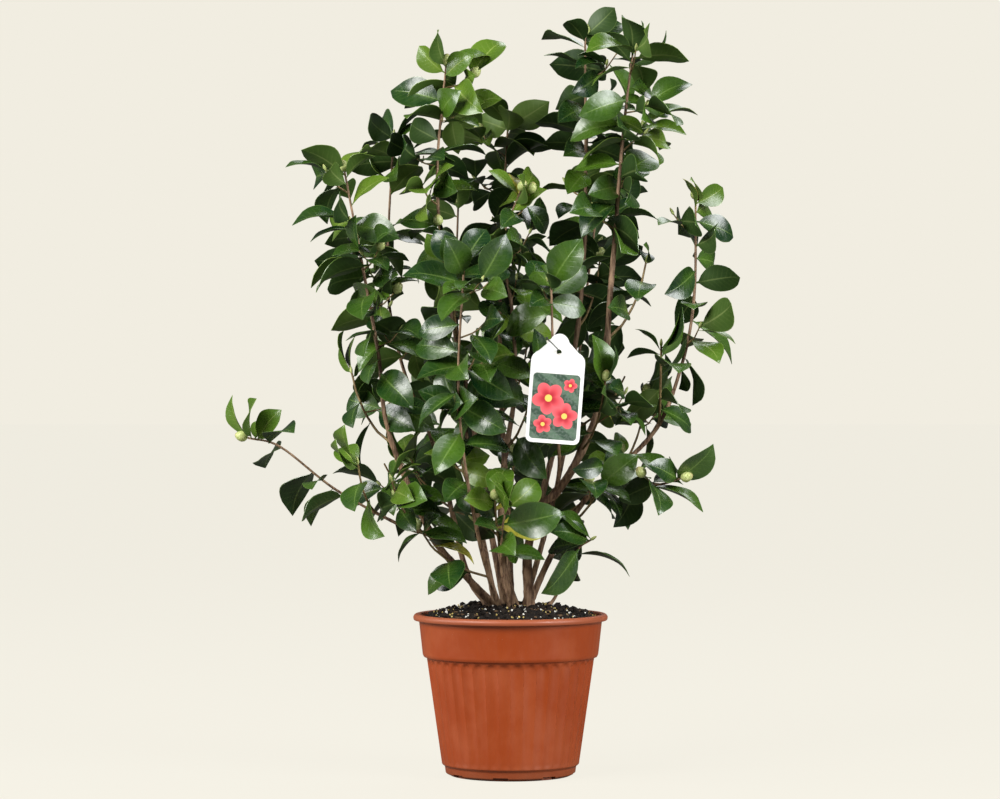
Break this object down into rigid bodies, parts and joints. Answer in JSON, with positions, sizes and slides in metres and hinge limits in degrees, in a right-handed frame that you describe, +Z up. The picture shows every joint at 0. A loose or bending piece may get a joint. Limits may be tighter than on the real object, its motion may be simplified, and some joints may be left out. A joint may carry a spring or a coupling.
{
  "type": "potted camellia shrub",
  "caption": "Evergreen camellia shrub with upright leafy stems and round flower buds in a fluted round nursery pot, with a hanging plant tag.",
  "frame": {"origin": "centre of the pot's flat underside, where it stands on the floor", "axes": "+Z up along the pot's axis, -Y towards the side that the plant tag faces, +X to the right seen from there"},
  "size_m": [0.7118, 0.4573, 1.0368],
  "materials": {
    "pot": "satin terracotta-coloured plastic",
    "compost": "dark loose potting mix with pale grains",
    "bark": "streaked grey-brown bark",
    "foliage": "glossy dark green leaves, pale green buds",
    "tag": "smooth white plastic with a printed flower",
    "tie": "thin dark tie"
  },
  "bodies": {
    "root": {"pot": "pot", "compost": "compost", "stem_left": "bark", "bough_left_low": "bark", "stem_left_back": "bark", "stem_centre_left": "bark", "stem_centre": "bark", "stem_right_tall": "bark", "bough_right_back": "bark", "stem_right_arch": "bark", "bough_right_low": "bark", "stem_right_foot": "bark", "stem_back_centre": "bark", "stem_back_left": "bark", "stem_back_right": "bark", "stem_front_left": "bark", "bough_front_right": "bark", "stem_front_low": "bark", "foliage_left": "foliage", "foliage_left_low": "foliage", "foliage_left_back": "foliage", "foliage_centre_left": "foliage", "foliage_centre": "foliage", "foliage_right_tall": "foliage", "foliage_right_back": "foliage", "foliage_right_arch": "foliage", "foliage_right_low": "foliage", "foliage_right_foot": "foliage", "foliage_back_centre": "foliage", "foliage_back_left": "foliage", "foliage_back_right": "foliage", "foliage_front_left": "foliage", "foliage_front_right": "foliage", "foliage_front_low": "foliage", "foliage_left_side_1": "foliage", "foliage_left_side_2": "foliage", "foliage_left_low_side_1": "foliage", "foliage_left_back_side_1": "foliage", "foliage_left_back_side_2": "foliage", "foliage_centre_left_side_1": "foliage", "foliage_centre_left_side_2": "foliage", "foliage_centre_left_side_3": "foliage", "foliage_centre_side_1": "foliage", "foliage_centre_side_2": "foliage", "foliage_right_tall_side_1": "foliage", "foliage_right_tall_side_2": "foliage", "foliage_right_back_side_1": "foliage", "foliage_right_back_side_2": "foliage", "foliage_right_arch_side_1": "foliage", "foliage_right_arch_side_2": "foliage", "foliage_right_arch_side_3": "foliage", "foliage_back_centre_side_1": "foliage", "foliage_back_centre_side_2": "foliage", "foliage_back_left_side_1": "foliage", "foliage_back_left_side_2": "foliage", "foliage_back_right_side_1": "foliage", "foliage_back_right_side_2": "foliage", "foliage_front_left_side_1": "foliage", "plant_tag": "tag", "tag_tie": "tie"}
  },
  "joints": []
}
